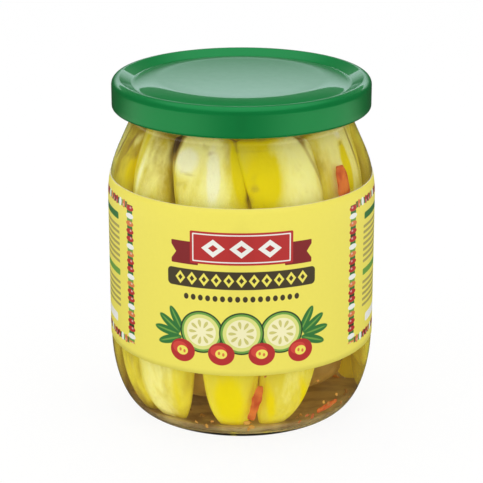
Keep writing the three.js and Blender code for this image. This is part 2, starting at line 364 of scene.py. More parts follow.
def clear_material(name, colour, ior, ripple, absorbed=None):
    """A clear body that bends what is seen through it and lets lamps light what is inside."""
    material, tree = new_material(name)
    wave = bump(tree, speckle(tree, place(tree), 45.0, 1.0), ripple, 0.0004)
    inputs = {"Color": (*colour, 1), "Roughness": 0.0, "IOR": ior, "Normal": wave}
    glass = add(tree, "BsdfGlass", inputs)
    open_way = add(tree, "BsdfTransparent", {"Color": (1, 1, 1, 1)})
    shadow_ray, diffuse_ray = add_several(tree, "LightPath", ("Is Shadow Ray", "Is Diffuse Ray"))
    lighting = shadow_ray.calc("MAXIMUM", diffuse_ray)
    inputs = {"Surface": add(tree, "MixShader", {0: lighting, 1: glass, 2: open_way})}
    if absorbed:
        tint, density = absorbed
        inputs["Volume"] = add(tree, "VolumeAbsorption", {"Color": (*tint, 1), "Density": density})
    add_node(tree, "OutputMaterial", inputs)
    return material


BRINE_ABSORBS = ((0.92, 0.75, 0.35), 22.0)
LACQUER_TONES = ((0.008, 0.28, 0.062), (0.011, 0.3, 0.07))
LACQUER_SHEEN = (0.03, 0.3, 0.1, 1)
LINING_TONES = ((0.62, 0.6, 0.52), (0.7, 0.68, 0.6))
PAPER_BACK_TONES = ((0.74, 0.72, 0.6), (0.8, 0.78, 0.68))


def lid_material():
    """Green lacquer on tinplate: the metal under it tints what it reflects."""
    material, tree = new_material("green_lacquer")
    where = place(tree)
    inputs = {
        "Base Color": blend(tree, speckle(tree, where, 60.0, 2.0), *LACQUER_TONES),
        "Metallic": 0.5,
        "Roughness": speckle(tree, where, 300.0) * 0.08 + 0.3,
        "Specular Tint": LACQUER_SHEEN,
        "Normal": bump(tree, speckle(tree, where, 500.0, 1.0), 0.02, 0.0001),
        "Coat Weight": 0.45,
        "Coat Roughness": 0.04,
    }
    return finished(material, inputs)


def lining_material():
    material, tree = new_material("lid_lining")
    colour = blend(tree, speckle(tree, place(tree), 120.0), *LINING_TONES)
    return finished(material, {"Base Color": colour, "Roughness": 0.35})


PAPER_YELLOW = (0.879, 0.776, 0.1)
PRINT_RED = (0.5, 0.016, 0.014)
PRINT_DARK_RED = (0.25, 0.008, 0.01)
PRINT_GREEN = (0.03, 0.2, 0.035)
PRINT_DARK_GREEN = (0.02, 0.075, 0.02)
PRINT_LEAF = (0.16, 0.38, 0.05)
PRINT_CREAM = (0.9, 0.85, 0.5)
PRINT_ORANGE = (0.72, 0.19, 0.04)
PRINT_WHITE = (0.85, 0.85, 0.78)
PRINT_SEED = (0.62, 0.58, 0.16)
PRINT_LIGHT_RED = (0.68, 0.05, 0.03)
PRINT_FLESH = (0.72, 0.74, 0.2)
PRINT_BARK = (0.07, 0.05, 0.018)
PRINT_OLIVE = (0.42, 0.36, 0.09)
EDGE_SHARPNESS = 9.0


class Print:
    """Fields of colour on the label, whose UV map is in millimetres from the middle of its lower edge."""

    def __init__(self, tree, ground):
        self.tree = tree
        self.colour = ground
        spot = add(tree, "UVMap", uv_map="print")
        self.across, self.up = add_several(tree, "SeparateXYZ", (0, 1), {0: spot})

    def local(self, x, y, turn=0.0):
        """Coordinates round a point, turned by an angle in degrees."""
        across, up = self.across - x, self.up - y
        if not turn:
            return across, up
        c, s = cos_sin(turn)
        return across * c + up * s, up * c - across * s

    def mirrored(self, x, y):
        """Coordinates round a point on the right and its mirror image on the left."""
        return abs(self.across) - x, self.up - y

    def paint(self, mask, colour):
        self.colour = blend(self.tree, mask, self.colour, colour)


def filled(depth):
    """1 where the depth in millimetres is above 0, with a fine edge."""
    return (depth * EDGE_SHARPNESS).calc("ADD", 0.5, clamp=True)


def length(a, b):
    return (a * a + b * b).calc("SQRT")


def oval(at, half_width, half_height):
    away = length(at[0] / half_width, at[1] / half_height)
    return filled((1.0 - away) * min(half_width, half_height))


def box(at, half_width, half_height, corner=0.3):
    a = abs(at[0]) - (half_width - corner)
    b = abs(at[1]) - (half_height - corner)
    return filled(corner - length(a.calc("MAXIMUM"), b.calc("MAXIMUM")))


def diamond(at, half_width, half_height):
    away = abs(at[0]) / half_width + abs(at[1]) / half_height
    return filled((1.0 - away) * min(half_width, half_height))


def from_middle(turn, pitch):
    """Distance from the middle of each repeat of a pattern, from the number of repeats so far."""
    return (turn.calc("FRACT") - 0.5) * pitch


# Where things are on the label, and their sizes
BANNER_HEIGHT = 43.0
TAIL_ACROSS = 18.5
TAIL_NOTCH_ACROSS = 24.0
TAIL_DROP = 2.2
DIAMOND_SPACING = 9.0
FRIEZE_HEIGHT = 32.4
LOZENGE_PITCH = 4.0
RULE_HEIGHT = 26.2
DOT_PITCH = 2.4
SLICE_HEIGHT = 14.5
SLICE_RADIUS = 7.2
SLICES_ACROSS = (-13.0, 13.0, 0.0)
SLICE_SEEDS = 9
SEED_RING = 2.9
SEED_PITCH = 2.1
LEAVES = ((62, 25.5), (35, 28.0), (8, 28.5), (-20, 27.0))
LEAVES_ACROSS = 20.0
CHILLI_RING_HEIGHT = 7.4
CHILLI_RINGS_ACROSS = (-19.5, -6.5, 6.5, 19.5)
COLUMN_ACROSS = 41.8
GARLAND_ENDS = (4.6, 51.4)
BEAD_PITCH = 2.6
PANEL_ACROSS = 64.0
PANEL_REACH = 22.0
LINE_REACH = 15.0
LINE_PITCH = 2.0
UPPER_LINES = (15.0, 13.5, 14.6, 11.0, 15.0, 12.5, 14.0)
LOWER_LINES = (14.0, 15.0, 12.5, 14.4, 9.0)
# Offset along the string in repeats, half width share, half length, colours in turn
BEADS = (
    (0.5, 0.75, 1.25, (PRINT_DARK_GREEN, PRINT_GREEN, PRINT_LEAF, PRINT_GREEN)),
    (0.0, 1.0, 0.95, (PRINT_RED, PRINT_ORANGE, PRINT_WHITE, PRINT_RED)),
)


def print_banner(ink):
    """A plain red ribbon with folded tails and three diamonds."""
    tail = ink.mirrored(TAIL_ACROSS, BANNER_HEIGHT - TAIL_DROP)
    notch = ink.mirrored(TAIL_NOTCH_ACROSS, BANNER_HEIGHT - TAIL_DROP)
    ink.paint(box(tail, 4.6, 3.8) * (1.0 - diamond(notch, 2.6, 3.6)), PRINT_DARK_RED)
    middle = ink.local(0, BANNER_HEIGHT)
    ink.paint(box(middle, 16.6, 5.4, 0.5), PRINT_RED)
    ink.paint(box(middle, 15.8, 4.7) * (1.0 - box(middle, 15.4, 4.3)), PRINT_WHITE)
    for number in (-1, 0, 1):
        at = ink.local(number * DIAMOND_SPACING, BANNER_HEIGHT)
        ink.paint(diamond(at, 3.8, 3.0), PRINT_WHITE)
        ink.paint(diamond(at, 1.6, 1.2), PRINT_RED)


def print_frieze(ink):
    """A dark band of lozenges and a finer rule of dots under it."""
    middle = ink.local(0, FRIEZE_HEIGHT)
    ink.paint(box(middle, 24.5, 3.0, 1.4), PRINT_BARK)
    at = (from_middle(ink.across / LOZENGE_PITCH + 0.5, LOZENGE_PITCH), middle[1])
    lozenge = diamond(at, 1.7, 2.2) * (1.0 - diamond(at, 0.8, 1.0))
    ink.paint(lozenge * box(middle, 22.0, 2.6), PAPER_YELLOW)
    rule = ink.local(0, RULE_HEIGHT)
    dots = oval((from_middle(ink.across / DOT_PITCH, DOT_PITCH), rule[1]), 0.8, 1.0)
    ink.paint(dots * box(rule, 19.2, 1.6), PRINT_BARK)


def print_slice(ink, x):
    """A round slice of cucumber with a ring of seeds."""
    at = ink.local(x, SLICE_HEIGHT)
    for inset, colour in ((0, PRINT_DARK_GREEN), (0.5, PRINT_LEAF), (1.2, PRINT_FLESH), (2.4, PRINT_CREAM)):
        ink.paint(oval(at, SLICE_RADIUS - inset, SLICE_RADIUS - inset), colour)
    turn = at[1].calc("ARCTAN2", at[0]) * (SLICE_SEEDS / (2 * math.pi))
    ink.paint(oval((length(*at) - SEED_RING, from_middle(turn, SEED_PITCH)), 1.3, 0.5), PRINT_SEED)


def print_picture(ink):
    """A row of cucumber slices with leaves at its ends and rings of chilli under it."""
    for turn, reach in LEAVES:
        c, s = cos_sin(turn)
        for side in (-1, 1):
            x = side * (LEAVES_ACROSS + (reach - LEAVES_ACROSS) * 0.62 * c)
            at = ink.local(x, SLICE_HEIGHT - 2 + 6.0 * s, side * turn)
            ink.paint(oval(at, 4.6, 1.45), PRINT_GREEN)
            ink.paint(oval(at, 3.8, 0.3), PRINT_LEAF)
    for x in SLICES_ACROSS:
        print_slice(ink, x)
    for x in CHILLI_RINGS_ACROSS:
        ink.paint(oval(ink.local(x, CHILLI_RING_HEIGHT), 4.3, 3.9), PRINT_RED)
        ink.paint(oval(ink.local(x - 0.9, CHILLI_RING_HEIGHT + 0.9), 2.6, 2.0), PRINT_LIGHT_RED)
        ink.paint(oval(ink.local(x, CHILLI_RING_HEIGHT), 1.9, 1.6), PAPER_YELLOW)
        for aside, up in ((-0.7, 0.2), (0.7, -0.2)):
            ink.paint(oval(ink.local(x + aside, CHILLI_RING_HEIGHT + up), 0.4, 0.6), PRINT_ORANGE)


def print_beads(ink, along, aside, half_width, within):
    """A string of leaves and round beads of several colours along a line."""
    for offset, width_share, half_length, colours in BEADS:
        turn = along / BEAD_PITCH + offset
        here = from_middle(turn, BEAD_PITCH)
        bead = oval((aside, here), half_width * width_share, half_length) * within
        kind = turn.calc("FLOOR").calc("MODULO", len(colours))
        for number, colour in enumerate(colours):
            ink.paint(bead * kind.calc("COMPARE", number), colour)
    shine = oval((aside + 0.5, here - 0.3), 0.5, 0.35)
    ink.paint(shine * within * 0.45, PRINT_WHITE)


def print_garland(ink):
    """Strings of beads that frame the panel on each side."""
    low, high = GARLAND_ENDS
    out = abs(ink.across)
    upright = box(ink.local(0, (low + high) / 2), 90.0, (high - low) / 2 + 0.4, 0.1)
    print_beads(ink, ink.up, out - COLUMN_ACROSS, 2.1, upright)
    level = box(ink.mirrored(PANEL_ACROSS + 1.4, 28.0), PANEL_REACH, 30.0, 0.1)
    for height in GARLAND_ENDS:
        print_beads(ink, out, ink.up - height, 1.4, level)


def print_lines(ink, top, halves):
    """Thin bars that start at the same place, from their half lengths."""
    for number, half in enumerate(halves):
        at = ink.mirrored(PANEL_ACROSS - LINE_REACH + half, top - LINE_PITCH * number)
        ink.paint(box(at, half, 0.5), PRINT_OLIVE)


def print_side_panels(ink):
    """Plain bars of colour inside the garland on each side."""
    ink.paint(box(ink.mirrored(PANEL_ACROSS, 46.0), 14.5, 1.2, 0.6), PRINT_GREEN)
    print_lines(ink, 42.4, UPPER_LINES)
    ink.paint(box(ink.mirrored(PANEL_ACROSS, 26.6), 15.0, 1.1, 0.5), PRINT_LEAF)
    print_lines(ink, 23.0, LOWER_LINES)
    ink.paint(box(ink.mirrored(PANEL_ACROSS, 9.8), 12.0, 1.5, 0.8), PRINT_WHITE)


def label_material():
    material, tree = new_material("label_print")
    where = place(tree)
    shaded = tuple(0.96 * c for c in PAPER_YELLOW)
    ink = Print(tree, blend(tree, speckle(tree, where, 900.0, 4.0), PAPER_YELLOW, shaded))
    print_banner(ink)
    print_frieze(ink)
    print_picture(ink)
    print_garland(ink)
    print_side_panels(ink)
    waves = speckle(tree, place(tree, (1, 1, 0.5)), 70.0, 1.0)
    inputs = {
        "Base Color": ink.colour,
        "Roughness": waves * 0.12 + 0.4,
        "Normal": bump(tree, speckle(tree, where, 2500.0, 2.0), 0.12, 0.0001),
        "Coat Weight": 0.12,
        "Coat Roughness": 0.25,
    }
    return finished(material, inputs)


def paper_material():
    material, tree = new_material("paper_back")
    colour = blend(tree, speckle(tree, place(tree), 300.0, 4.0), *PAPER_BACK_TONES)
    return finished(material, {"Base Color": colour, "Roughness": 0.8})


SPEAR_YELLOW = (0.8, 0.68, 0.05)
SPEAR_GOLD = (0.8, 0.65, 0.0)
SPEAR_OLIVE = (0.5, 0.365, 0.035)
SPEAR_CREAM = (0.92, 0.86, 0.3)
SPEAR_WHITE = (0.97, 0.93, 0.58)
SPEAR_OCHRE = (0.36, 0.24, 0.04)
SPEAR_BROWN = (0.075, 0.04, 0.014)
# Painted light: the spears glow in their own colour, more at the foot, which the lamps light too little.
SPEAR_GLOW = 0.1
SPEAR_FOOT_GLOW = 0.3
GLOW_CHANGE = 0.05
SETTLED_TONES = ((0.24, 0.14, 0.045), (0.5, 0.36, 0.12))
# The pickles in the middle are painted dark brown, for the shade deep in the jar.
INNER_TONES = ((0.26, 0.14, 0.03), (0.5, 0.33, 0.08))
CHILLI_TONES = ((0.52, 0.07, 0.01), (0.76, 0.21, 0.03))
BIT_BROWN = (0.3, 0.16, 0.04)
BIT_ORANGE = (0.72, 0.36, 0.05)
BIT_RED = (0.5, 0.09, 0.02)
BIT_DARK = (0.3, 0.14, 0.03)


def spear_material():
    """Wet cucumber: yellow flesh that light soaks into, paler where it was cut, with painted highlights,
    olive and brown that are partly painted shade, and a painted glow.
    """
    material, tree = new_material("cucumber")
    streaks = speckle(tree, place(tree, (1, 1, 0.16)), 330.0, 4.0)
    cloud = speckle(tree, place(tree, (1, 1, 0.5)), 70.0)
    fine = speckle(tree, place(tree, (1, 1, 0.6)), 900.0, 2.0)
    blotch = speckle(tree, place(tree, (1, 1, 0.4)), 210.0, 4.0, 0.65)
    uneven = streaks * 0.8 + blotch * 1.1 - 0.95
    # Olive: mottled tone, and painted shade, set strongest on the spears at the jar's sides and by the olive
    # marks in one gap.
    olive = ramp(tree, cloud, 0.36, 0.7) * reading(tree, "olive")
    cream = reading(tree, "cream") + uneven
    gold = reading(tree, "gold") + uneven
    brown = reading(tree, "brown") + uneven * 0.3
    colour = blend(tree, olive, SPEAR_YELLOW, SPEAR_OLIVE)
    colour = blend(tree, ramp(tree, cream, 0.1, 0.95), colour, SPEAR_CREAM)
    # Near-white: pale cut flesh, and painted highlight where the strongest cream marks paint lamp light
    # mirrored in the glass.
    colour = blend(tree, ramp(tree, cream, 0.9, 1.9), colour, SPEAR_WHITE)
    colour = blend(tree, ramp(tree, fine, 0.55, 0.8) * 0.18, colour, SPEAR_OLIVE)
    colour = blend(tree, ramp(tree, gold, 0.1, 1.0), colour, SPEAR_GOLD)
    # Ochre and brown: mostly painted shade, in the gaps between spears, at their sides and under the lid,
    # with some ochre blotches on the flesh.
    colour = blend(tree, ramp(tree, brown, 0.1, 0.85), colour, SPEAR_OCHRE)
    colour = blend(tree, ramp(tree, brown, 0.75, 1.5), colour, SPEAR_BROWN)
    # Painted light: a glow in the spear's own colour, brighter at the foot and fading up to GLOW_CHANGE.
    height = add(tree, "SeparateXYZ", {0: place(tree)}, output=2)
    glow = add(tree, "MapRange", {0: height, 1: 0.0, 2: GLOW_CHANGE, 3: SPEAR_FOOT_GLOW, 4: SPEAR_GLOW})
    inputs = {
        "Base Color": colour,
        "Roughness": fine * 0.2 + 0.22,
        "Specular IOR Level": 0.12,
        "Normal": bump(tree, streaks * 0.6 + fine * 0.4, 0.35, 0.0006),
        "Subsurface Weight": 0.35,
        "Subsurface Radius": (1.0, 0.75, 0.12),
        "Subsurface Scale": 0.004,
        "Emission Color": colour,
        "Emission Strength": glow,
    }
    return finished(material, inputs)


def plain_food_material(name, tones, scale, roughness, glow, subsurface=0.2):
    """Wet food whose colour wanders between two tones, with light soaking through it and a painted glow in
    its own colour.
    """
    material, tree = new_material(name)
    cloud = speckle(tree, place(tree), scale)
    colour = blend(tree, ramp(tree, cloud, 0.35, 0.65), *tones)
    inputs = {
        "Base Color": colour,
        "Roughness": roughness,
        "Normal": bump(tree, cloud, 0.3, 0.0004),
        "Subsurface Weight": subsurface,
        "Subsurface Radius": (1.0, 0.4, 0.15),
        "Subsurface Scale": 0.002,
        # Painted light: the food glows in its own colour.
        "Emission Color": colour,
        "Emission Strength": glow,
    }
    return finished(material, inputs)


def bits_material():
    """Seeds from pale brown to orange and red."""
    material, tree = new_material("seeds")
    tone = reading(tree, "tone")
    cloud = speckle(tree, place(tree), 700.0)
    colour = blend(tree, ramp(tree, tone, 0.0, 0.5), BIT_BROWN, BIT_ORANGE)
    colour = blend(tree, ramp(tree, tone, 0.5, 1.0), colour, BIT_RED)
    colour = blend(tree, cloud * 0.4, colour, BIT_DARK)
    inputs = {
        "Base Color": colour,
        "Roughness": 0.35,
        # Painted light: the seeds glow in their own colour.
        "Normal": bump(tree, cloud, 0.3, 0.0003),
        "Emission Color": colour,
        "Emission Strength": 0.2,
    }
    return finished(material, inputs)


# The jar


def thread_rise(z, turn):
    """How far the thread stands out: six ridges that each run down."""
    pitch = 2 * math.pi / THREADS
    along = np.mod(turn, pitch) / THREAD_SPAN
    middle = THREAD_TOP - THREAD_DROP * along
    across = np.clip(1 - np.abs(z - middle) / (2 * THREAD_HALF_WIDTH), 0, 1)
    across = across * across * (3 - 2 * across)
    reach = np.sqrt(np.clip(np.sin(math.pi * np.clip(along, 0, 1)), 0, 1))
    return THREAD_HEIGHT * across * reach


def glass_profile():
    base = [(RING_INNER * s, PUSH_UP * (1 - s * s)) for s in np.linspace(0, 1, 14)]
    outer = [(RING_INNER + 0.5, 0.02), (RING_OUTER - 0.6, 0.0)]
    heel = arc(RING_OUTER, HEEL_TOP, BODY_RADIUS - RING_OUTER, HEEL_TOP, -QUARTER, 0, 30)
    shoulder = arc(SHOULDER_CENTRE, SHOULDER_START, SHOULDER_RADIUS, SHOULDER_RADIUS, 0, SHOULDER_ANGLE, 14)
    cone = [(outside_radius(CONE_TOP - 1.2), CONE_TOP - 1.2)]
    neck = [
        (outside_radius(CONE_TOP) + 0.04, CONE_TOP),
        (NECK_RADIUS + 0.12, CONE_TOP + 1.4),
        (NECK_RADIUS, CONE_TOP + 2.4),
        (NECK_RADIUS + 0.25, CONE_TOP + 3.3),
        (BEAD_RADIUS - 0.5, FINISH_BOTTOM - 1.3),
        (BEAD_RADIUS, FINISH_BOTTOM - 0.7),
        (FINISH_RADIUS, FINISH_BOTTOM),
    ]
    finish = [(FINISH_RADIUS, z) for z in np.linspace(FINISH_BOTTOM, RIM_TOP - RIM_ROUND, 20)[1:]]
    rim = arc(FINISH_RADIUS - RIM_ROUND, RIM_TOP - RIM_ROUND, RIM_ROUND, RIM_ROUND, 0, QUARTER, 6)
    rim += [(MOUTH_RADIUS + RIM_ROUND, RIM_TOP)]
    rim += arc(MOUTH_RADIUS + RIM_ROUND, RIM_TOP - RIM_ROUND, RIM_ROUND, RIM_ROUND, QUARTER, 2 * QUARTER, 6)
    top_wall = [(BODY_RADIUS, z) for z in np.linspace(HEEL_TOP, SHOULDER_START, 8)[1:]]
    inside = inner_profile(0.0)
    return base + outer + heel + top_wall + shoulder + cone + neck + finish + rim + inside


def inner_profile(into_wall, top=None):
    """The inside of the glass from the mouth down to the middle of the floor, moved into the wall."""
    inner = SHOULDER_RADIUS - WALL
    end_r = SHOULDER_CENTRE + inner * math.cos(SHOULDER_ANGLE)
    end_z = SHOULDER_START + inner * math.sin(SHOULDER_ANGLE)
    cone_top = end_z + (end_r - MOUTH_RADIUS) / math.tan(SHOULDER_ANGLE)
    points = [(MOUTH_RADIUS, top)] if top else []
    points += [(MOUTH_RADIUS, cone_top + 0.9), (MOUTH_RADIUS + 0.08, cone_top)]
    points += [(end_r, end_z)]
    points += arc(SHOULDER_CENTRE, SHOULDER_START, inner, inner, SHOULDER_ANGLE, 0, 12)
    points += [(BODY_RADIUS - WALL, z) for z in np.linspace(SHOULDER_START, HEEL_TOP, 8)[1:]]
    half_width = BODY_RADIUS - WALL - FLOOR_EDGE
    points += arc(FLOOR_EDGE, HEEL_TOP, half_width, HEEL_TOP - FLOOR_EDGE_HEIGHT, 0, -QUARTER, 24)
    points = [(r + into_wall, z) for r, z in points]
    floor = [(FLOOR_EDGE * s, FLOOR_EDGE_HEIGHT + FLOOR_RISE * (1 - s * s)) for s in np.linspace(0.94, 0, 12)]
    return points + [(r, z - into_wall) for r, z in floor]


def make_glass():
    def move(r, z, turn):
        on_finish = (np.abs(r - FINISH_RADIUS) < 0.01) & (z > FINISH_BOTTOM + 0.1)
        outer_wall = (r > BODY_RADIUS - 8) & (z < LABEL_TOP + 20) & (z > 3)
        seam = np.exp(-((np.cos(turn) / 0.012) ** 2)) * 0.05
        return np.where(on_finish, thread_rise(z, turn), 0) + np.where(outer_wall & (r > 42.3), seam, 0)

    piece = turned("jar_glass", glass_profile(), move)
    dress(piece, [clear_material("clear_glass", (0.99, 1.0, 0.99), 1.5, 0.03)], "glass", "glass_jar")


def make_brine():
    inside = inner_profile(BRINE_INTO_WALL, BRINE_LEVEL + 0.5)
    meniscus = [(MOUTH_RADIUS - 1.6 * s, BRINE_LEVEL + 0.5 * (1 - s) ** 2) for s in np.linspace(1, 0.15, 6)]
    piece = turned("brine", [(0, BRINE_LEVEL)] + meniscus + inside)
    dress(piece, [clear_material("brine", (1.0, 1.0, 0.98), BRINE_INDEX, 0.02, BRINE_ABSORBS)], "glass")


def lid_top_arcs(inset):
    """The lid's top from the axis to the crest: a slight dome, the roll to the channel, the channel, the
    crest. Each is (centre radius, centre height, radius, start, end), and inset is inwards."""
    dome_angle = math.asin(DOME_EDGE / DOME_RADIUS)
    down = DOME_RADIUS - ROLL_RADIUS
    roll_r = down * math.sin(dome_angle)
    roll_z = LID_TOP - DOME_RADIUS + down * math.cos(dome_angle)
    channel_r = roll_r + (ROLL_RADIUS + CHANNEL_ROUND) * math.sin(ROLL_ANGLE)
    channel_z = roll_z + (ROLL_RADIUS + CHANNEL_ROUND) * math.cos(ROLL_ANGLE)
    rounds = CHANNEL_ROUND + CREST_ROUND
    rise = LID_TOP - CREST_ROUND - channel_z + rounds * math.cos(RISE_ANGLE)
    crest_r = channel_r + rounds * math.sin(RISE_ANGLE) + rise / math.tan(RISE_ANGLE)
    return [
        (0, LID_TOP - DOME_RADIUS, DOME_RADIUS - inset, QUARTER, QUARTER - dome_angle),
        (roll_r, roll_z, ROLL_RADIUS - inset, QUARTER - dome_angle, QUARTER - ROLL_ANGLE),
        (channel_r, channel_z, CHANNEL_ROUND + inset, -QUARTER - ROLL_ANGLE, -QUARTER + RISE_ANGLE),
        (crest_r, LID_TOP - CREST_ROUND, CREST_ROUND - inset, QUARTER + RISE_ANGLE, QUARTER),
    ]


def lid_top(inset, steps=10):
    points = []
    for r, z, radius, start, end in lid_top_arcs(inset):
        if points:
            points.append((r + radius * math.cos(start), z + radius * math.sin(start)))
        else:
            points.append((0, z + radius))
        points += arc(r, z, radius, radius, start, end, steps)
    return points


def lid_profile():
    """(profile, number of its points that are outside)"""
    crest = lid_top_arcs(0)[3][0]
    corner = LID_RADIUS - crest
    curl_r, curl_z = LID_RADIUS - CURL_RADIUS, LID_BOTTOM + CURL_RADIUS
    outside = lid_top(0)
    outside += arc(crest, LID_TOP - corner, corner, corner, QUARTER, 0, 14)
    outside += [(LID_RADIUS, z) for z in np.linspace(LID_TOP - corner, curl_z, 5)[1:]]
    outside += arc(curl_r, curl_z, CURL_RADIUS, CURL_RADIUS, 0, -3 * QUARTER, 16)
    inner = corner - LID_WALL
    inside = [(LID_RADIUS - LID_WALL, curl_z + CURL_RADIUS + 0.4), (LID_RADIUS - LID_WALL, LID_TOP - corner)]
    inside += arc(crest, LID_TOP - corner, inner, inner, 0, QUARTER, 10)
    inside += lid_top(LID_WALL)[::-1][1:]
    return outside + inside, len(outside)


def make_lid():
    profile, outside_count = lid_profile()
    curl_middle = LID_RADIUS - CURL_RADIUS

    def move(r, z, turn):
        on_curl = (r < curl_middle - 0.2) & (r > curl_middle - 2) & (z < LID_BOTTOM + 2 * CURL_RADIUS)
        lug = np.clip((np.cos(THREADS * turn) - 0.5) / 0.5, 0, 1)
        return np.where(on_curl, -LUG_DEPTH * lug, 0)

    piece = turned("twist_off_lid", profile, move)
    outside_faces = (outside_count - 2) * ROUND_SEGMENTS
    total = (len(profile) - 3) * ROUND_SEGMENTS
    slots = np.zeros(len(piece.data.polygons), np.int32)
    slots[outside_faces:total] = 1
    slots[total + ROUND_SEGMENTS :] = 1
    piece.data.polygons.foreach_set("material_index", slots)
    dress(piece, [lid_material(), lining_material()], "lid_lacquer", "lid")


def make_label():
    """A sheet of paper round the glass, printed outside, with a gap between its ends at the back."""
    half_turn = math.pi - LABEL_GAP / 2 / BODY_RADIUS
    turn = np.linspace(-half_turn, half_turn, 281)
    heights = np.linspace(LABEL_BOTTOM, LABEL_TOP, 29)
    inner = np.array([outside_radius(z) + LABEL_INNER_GAP for z in heights])
    points = []
    for thickness in (0, LABEL_THICKNESS):
        points.append(around((inner + thickness)[:, None], turn, heights[:, None]).reshape(-1, 3))
    rows, columns = len(heights), len(turn)
    count = rows * columns
    numbers = np.arange(count).reshape(rows, columns)
    loop = [numbers[:-1, :-1], numbers[:-1, 1:], numbers[1:, 1:], numbers[1:, :-1]]
    quads = np.stack(loop, axis=-1).reshape(-1, 4)
    faces = [*quads.tolist(), *(quads[:, ::-1] + count).tolist()]
    rim = [*numbers[0], *numbers[1:, -1], *numbers[-1, -2::-1], *numbers[-2:0:-1, 0]]
    faces += [(int(a), int(b), int(b + count), int(a + count)) for a, b in zip(rim, rim[1:] + rim[:1])]
    piece = make_piece("paper_label", np.concatenate(points), faces)
    uv = piece.data.uv_layers.new(name="print")
    across = np.tile(np.tile(turn * BODY_RADIUS, rows), 2)
    up = np.tile(np.repeat(heights - LABEL_BOTTOM, columns), 2)
    corners = np.zeros(len(piece.data.loops), np.int32)
    piece.data.loops.foreach_get("vertex_index", corners)
    uv.data.foreach_set("uv", np.stack([across[corners], up[corners]], axis=-1).ravel())
    slots = np.ones(len(piece.data.polygons), np.int32)
    slots[len(quads) : 2 * len(quads)] = 0
    piece.data.polygons.foreach_set("material_index", slots)
    flat = np.ones(len(piece.data.polygons), bool)
    flat[2 * len(quads) :] = False
    piece.data.polygons.foreach_set("use_smooth", flat)
    dress(piece, [label_material(), paper_material()], "label_paper", "label")


class Spear(NamedTuple):
    """A cucumber spear that stands against the glass.

    azimuth is at the top, at the point that it bows towards and at the foot; width, height, cream and
    cream_turn are at the top and the foot. cream_turn says where round the spear the cream lies in degrees,
    0 towards the glass and positive to the right, and olive how much olive-brown mottles it; the high olive
    of the spears at the jar's sides paints shade there.
    """

    azimuth: tuple
    width: tuple
    height: tuple
    cream: tuple
    cream_turn: tuple
    olive: float
    clearance: float = SPEAR_CLEARANCE
    foot_power: float = FOOT_POWER


SHOWN_SPEARS = [
    Spear((-83, -62, -62), (16, 15), (103, 4.4), (0.0, 0.1), (20, 0), 2.0),
    Spear((-57, -34, -42.5), (14.5, 27), (104.5, 3.7), (0.5, 0.75), (10, -20), 0.9),
    Spear((-22, -5, -5), (25.6, 16.5), (104.5, 3.4), (1.0, -0.3), (-8, 0), 0.2, foot_power=6),
    Spear((15, 36, 17), (26.6, 17.5), (104.5, 3.4), (1.1, 0.2), (35, 10), 0.3, foot_power=5),
    Spear((65, 53, 53), (27, 14), (104.5, 27), (1.0, 0.4), (-5, 0), 0.5, clearance=3.6),
    Spear((103, 78, 88), (18, 15), (103, 14), (0.1, 0.1), (0, 0), 1.0),
]
# Marks on the spears by kind: azimuth of the glass at which it shows, height, half width, half height,
# turn anticlockwise, amount.
MARKS = {
    "cream": [
        # The marks at -51, -27 and -12.5 are painted highlights: lamp light mirrored in the glass, painted as
        # near-white bands on the spears.
        (-64, 95, 1.2, 3, -14, 0.7),
        (-51, 88, 1, 7, 0, 1.1),
        (-38, 93, 1.6, 7, 0, 0.5),
        (-27, 93.5, 3.6, 3.6, 0, 1.8),
        (-12.5, 90, 2, 8, 5, 1.9),
        (7, 94, 0.8, 2.2, -35, 1.0),
        (61, 97, 1, 2.2, 0, 1.4),
    ],
    "gold": [
        (-60, 86, 3, 4, 0, 1.2),
        (-54, 98, 1.5, 6, 0, 0.7),
        (-2, 91, 1.7, 9, 9, 1.5),
        (8, 103, 8, 3.4, 0, 1.3),
        (10, 89, 5.6, 10, 0, 1.7),
        (59, 87, 2.0, 8, -6, 1.7),
        (-30, 16, 1.3, 12, 0, 0.6),
        (-5, 15, 5, 9, 0, 1.4),
        (13, 14, 1.6, 8, 10, 1.2),
        (30, 14, 1.6, 10, 20, 1.2),
    ],
    "olive": [
        (-46, 96, 2.5, 6, 0, 0.8),
        (-26, 87, 2.6, 0.8, 12, 1.2),
        (-12, 99, 1.8, 1.2, 30, 1.1),
        (-7, 95, 1.3, 7, 0, 0.9),
        (18, 86, 1.3, 2.2, 0, 1.2),
        # These two paint the shade in the gap between two spears.
        (35, 94, 2, 11, 19, 1.2),
        (42, 92, 1.4, 9, 14, 1),
    ],
    "brown": [
        # Most brown marks are painted shade: lines in the gaps between spears and patches at their tops under
        # the lid. The small ones near 5 degrees at heights 83 to 90 are ochre blotches on the flesh.
        (-78, 91, 0.8, 9, -14, 1.0),
        (-68, 93, 0.7, 4.5, -14, 1.0),
        (-66, 90, 1.6, 0.8, 25, 0.6),
        (-34.5, 99, 2.0, 6.5, -8, 1.8),
        (-33, 89, 0.7, 9, 0, 0.4),
        (-25, 90, 3.4, 0.7, -6, 0.42),
        (-18, 98.5, 0.9, 1.8, 25, 0.42),
        (-15, 96.5, 1.8, 0.9, 30, 0.38),
        (-3, 99.5, 0.7, 4, 13, 0.45),
        (8, 102.5, 7.5, 2.2, 0, 0.42),
        (7, 97.5, 6, 0.7, 0, 0.3),
        (5.5, 90, 1.4, 2.4, -20, 0.3),
        (6, 86.5, 1.8, 1.4, 10, 0.5),
        (3.5, 83, 1.8, 1.6, 0, 0.35),
        (32, 101, 1.5, 3.5, 19, 0.8),
        (35, 93, 0.9, 11, 19, 0.5),
        (60, 94, 1.8, 0.8, 10, 0.5),
        (70, 92, 0.7, 12, -6, 0.8),
        (-82, 17, 3.5, 12, 0, 0.8),
    ],
}
